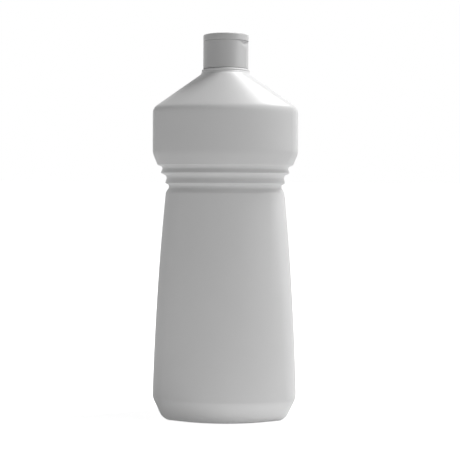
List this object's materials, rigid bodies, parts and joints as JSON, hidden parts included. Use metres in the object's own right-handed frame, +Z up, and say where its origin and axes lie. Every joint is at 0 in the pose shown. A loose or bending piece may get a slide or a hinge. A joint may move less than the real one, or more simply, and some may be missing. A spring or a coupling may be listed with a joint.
{
  "type": "janitorial bottle",
  "caption": "Empty white blow-moulded cleaner bottle: flattened tapered body, ribbed waist, wide upper band, sloping shoulder and a flip-top screw cap.",
  "frame": {"origin": "centre of the base, on the plane that the two crescent feet stand on", "axes": "+Z up along the neck, +X along the broad width, -Y towards the broad front"},
  "size_m": [0.0992, 0.066, 0.2608],
  "materials": {
    "bottle_plastic": "satin white polyethylene, finely grained by the mould",
    "cap_plastic": "smooth white polypropylene, half gloss",
    "washer_foam": "closed-cell foam, matt"
  },
  "bodies": {
    "bottle": {"bottle": "bottle_plastic"},
    "washer": {"seal_washer": "washer_foam"},
    "cap": {"cap": "cap_plastic", "hinge_strap": "cap_plastic"},
    "lid": {"lid": "cap_plastic"}
  },
  "joints": [
    {"name": "cap_rise", "type": "slide", "parent": "bottle", "child": "washer", "axis": [0, 0, 1], "range_m": [0, 0.00635]},
    {"name": "cap_turn", "type": "hinge", "parent": "washer", "child": "cap", "pos_m": [0, 0, 0.2463], "axis": [0, 0, 1], "range_deg": [0, 540]},
    {"name": "lid_flip", "type": "hinge", "parent": "cap", "child": "lid", "pos_m": [-0.01303, 0.00752, 0.2563], "axis": [-0.5, -0.866, 0], "range_deg": [0, 150]}
  ],
  "couplings": [
    {"joint": "cap_rise", "follows": "cap_turn", "m_per_rad": 0.00067322}
  ]
}
